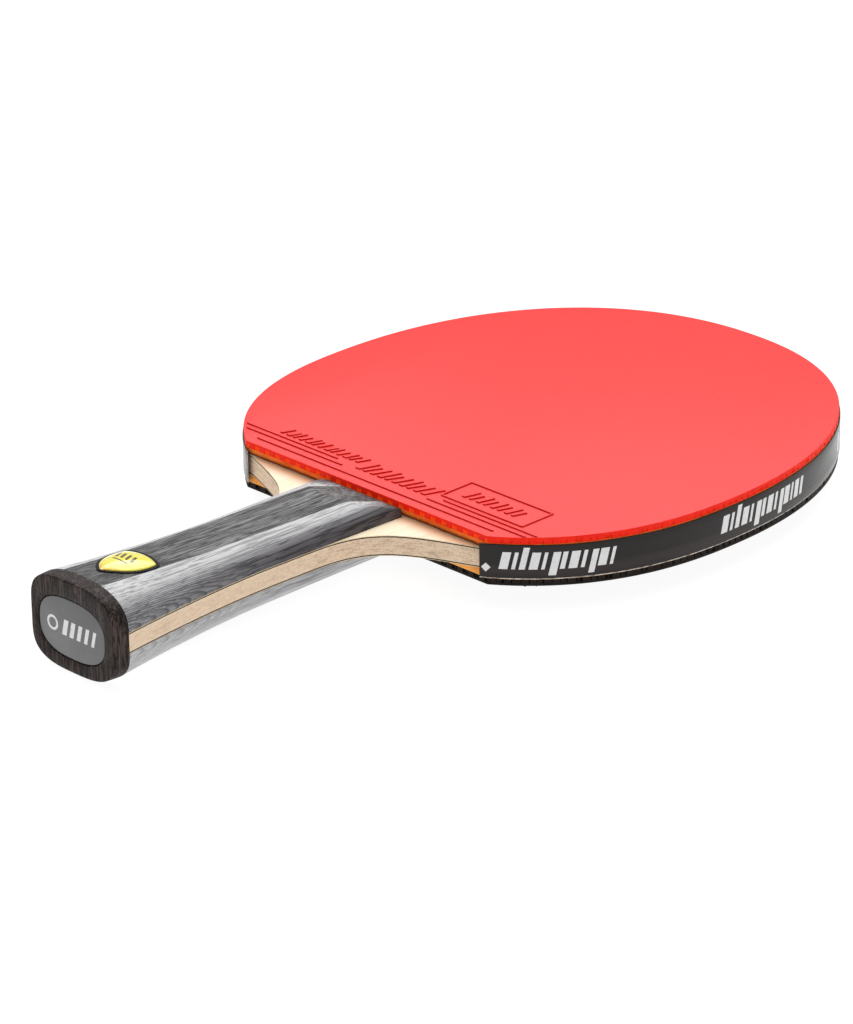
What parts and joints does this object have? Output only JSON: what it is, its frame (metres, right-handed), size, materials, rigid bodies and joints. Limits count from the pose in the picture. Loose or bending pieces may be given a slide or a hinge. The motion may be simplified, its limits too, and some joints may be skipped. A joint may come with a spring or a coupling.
{
  "type": "table tennis paddle",
  "caption": "Table tennis paddle: plywood blade with a flared grey handle, one red and one black rubber on orange sponge, and black edge tape.",
  "frame": {"origin": "centre of the bottom of the whole paddle's box: x = 0 on the centre line, y = 0 halfway along, z = 0 at the underside of the handle's end cap", "axes": "+Y runs along the paddle from the butt to the tip of the head, +Z points out of the red face, +X is across the paddle"},
  "size_m": [0.1508, 0.2544, 0.0267],
  "materials": {
    "core_wood": "bare light wood edge, fine long grain",
    "medial_wood": "bare light wood edge",
    "fibre": "dark woven fibre pressed in glue, seen as a thin line",
    "outer_veneer": "cream veneer, sanded, fine straight grain",
    "handle_strip_wood": "dark grey stained wood with fine black grain, satin",
    "handle_block_wood": "silver grey stained wood with arching dark grain, satin",
    "cap_wood": "black-brown open-grained wood, satin",
    "butt_badge": null,
    "badge_label": "black printed film",
    "badge_dome": "glossy clear resin dome over a yellow print",
    "glue": "dried latex glue",
    "sponge": "orange cellular sponge, cut edge",
    "red_rubber": "smooth satin red rubber",
    "black_rubber": "smooth satin black rubber",
    "edge_tape": null
  },
  "bodies": {
    "root": {"core_ply": "core_wood", "medial_ply_red_side": "medial_wood", "medial_ply_black_side": "medial_wood", "fibre_layer_red_side": "fibre", "fibre_layer_black_side": "fibre", "outer_veneer_red_side": "outer_veneer", "outer_veneer_black_side": "outer_veneer", "handle_strip_red_side": "handle_strip_wood", "handle_strip_black_side": "handle_strip_wood", "handle_block_right_red_side": "handle_block_wood", "handle_block_left_red_side": "handle_block_wood", "handle_block_right_black_side": "handle_block_wood", "handle_block_left_black_side": "handle_block_wood", "end_cap": "cap_wood", "butt_badge": "butt_badge", "handle_badge_label": "badge_label", "handle_badge_dome": "badge_dome", "red_glue_film": "glue", "black_glue_film": "glue", "red_sponge": "sponge", "black_sponge": "sponge", "red_topsheet": "red_rubber", "black_topsheet": "black_rubber", "edge_tape": "edge_tape"}
  },
  "joints": []
}
